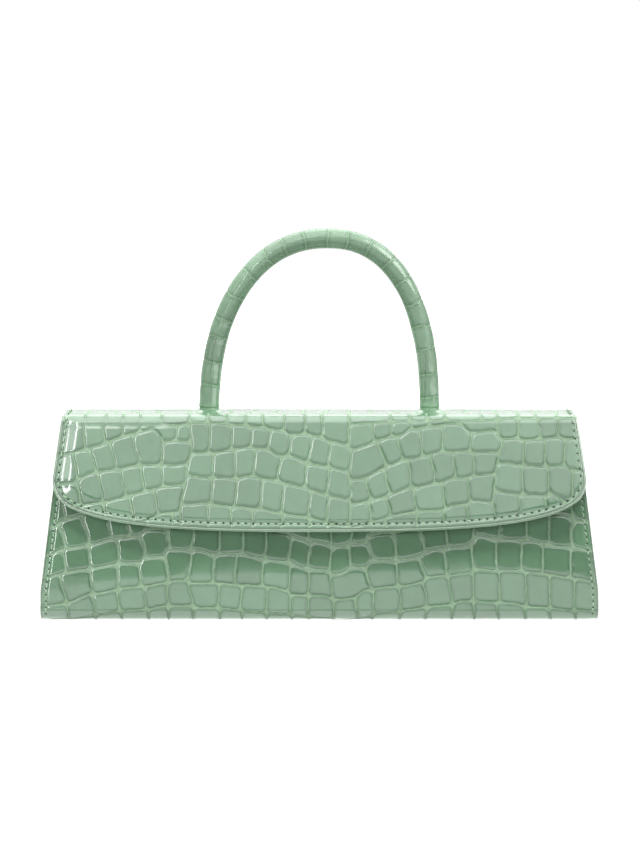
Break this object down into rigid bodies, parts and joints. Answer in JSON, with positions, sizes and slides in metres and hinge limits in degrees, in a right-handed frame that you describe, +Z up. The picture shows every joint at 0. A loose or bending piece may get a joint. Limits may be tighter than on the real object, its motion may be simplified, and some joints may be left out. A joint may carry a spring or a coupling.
{
  "type": "top handle bag",
  "caption": "Long, low structured leather handbag with a round top handle, a stitched front flap and a magnetic closure.",
  "frame": {"origin": "centre of the base, on the surface that the bag stands on", "axes": "+Z up, +X to the right seen from the front, the front flap faces -Y"},
  "size_m": [0.269, 0.068, 0.1876],
  "materials": {
    "outer_leather": "glossy green leather embossed with rectangular scales, paler in the grooves",
    "lining_twill": "matte twill",
    "stiffener_board": "matte bonded leather fibre board",
    "handle_filler": "twisted filler cord",
    "nickel_steel": "satin nickel plate",
    "sewing_thread": "waxed thread"
  },
  "bodies": {
    "bag_body": {"body_wrap": "outer_leather", "gusset_left": "outer_leather", "gusset_right": "outer_leather", "front_board": "stiffener_board", "base_board": "stiffener_board", "back_board": "stiffener_board", "body_lining": "lining_twill", "mouth_facing": "outer_leather", "gusset_lining_left": "lining_twill", "gusset_lining_right": "lining_twill", "pocket_panel": "lining_twill", "pocket_binding": "outer_leather", "snap_socket": "nickel_steel", "snap_socket_washer": "nickel_steel", "seam_thread_front_left": "sewing_thread", "seam_thread_front_right": "sewing_thread", "seam_thread_back_left": "sewing_thread", "seam_thread_back_right": "sewing_thread"},
    "flap": {"roof_leather": "outer_leather", "roof_board": "stiffener_board", "roof_lining": "lining_twill", "handle_cover": "outer_leather", "handle_core": "handle_filler", "handle_ferrule_left": "nickel_steel", "handle_ferrule_right": "nickel_steel", "anchor_washer_left": "nickel_steel", "anchor_washer_right": "nickel_steel", "anchor_screw_left": "nickel_steel", "anchor_screw_right": "nickel_steel"},
    "lip": {"lip_leather": "outer_leather", "lip_stiffener": "stiffener_board", "lip_lining": "lining_twill", "snap_stud": "nickel_steel", "snap_stud_washer": "nickel_steel", "flap_thread": "sewing_thread"}
  },
  "joints": [
    {"name": "flap_hinge", "type": "hinge", "parent": "bag_body", "child": "flap", "pos_m": [0, 0.02054, 0.09704], "axis": [-1, 0, 0], "range_deg": [0, 118]},
    {"name": "lip_fold", "type": "hinge", "parent": "flap", "child": "lip", "pos_m": [0, -0.02054, 0.09704], "axis": [-1, 0, 0], "range_deg": [0, 60]}
  ]
}
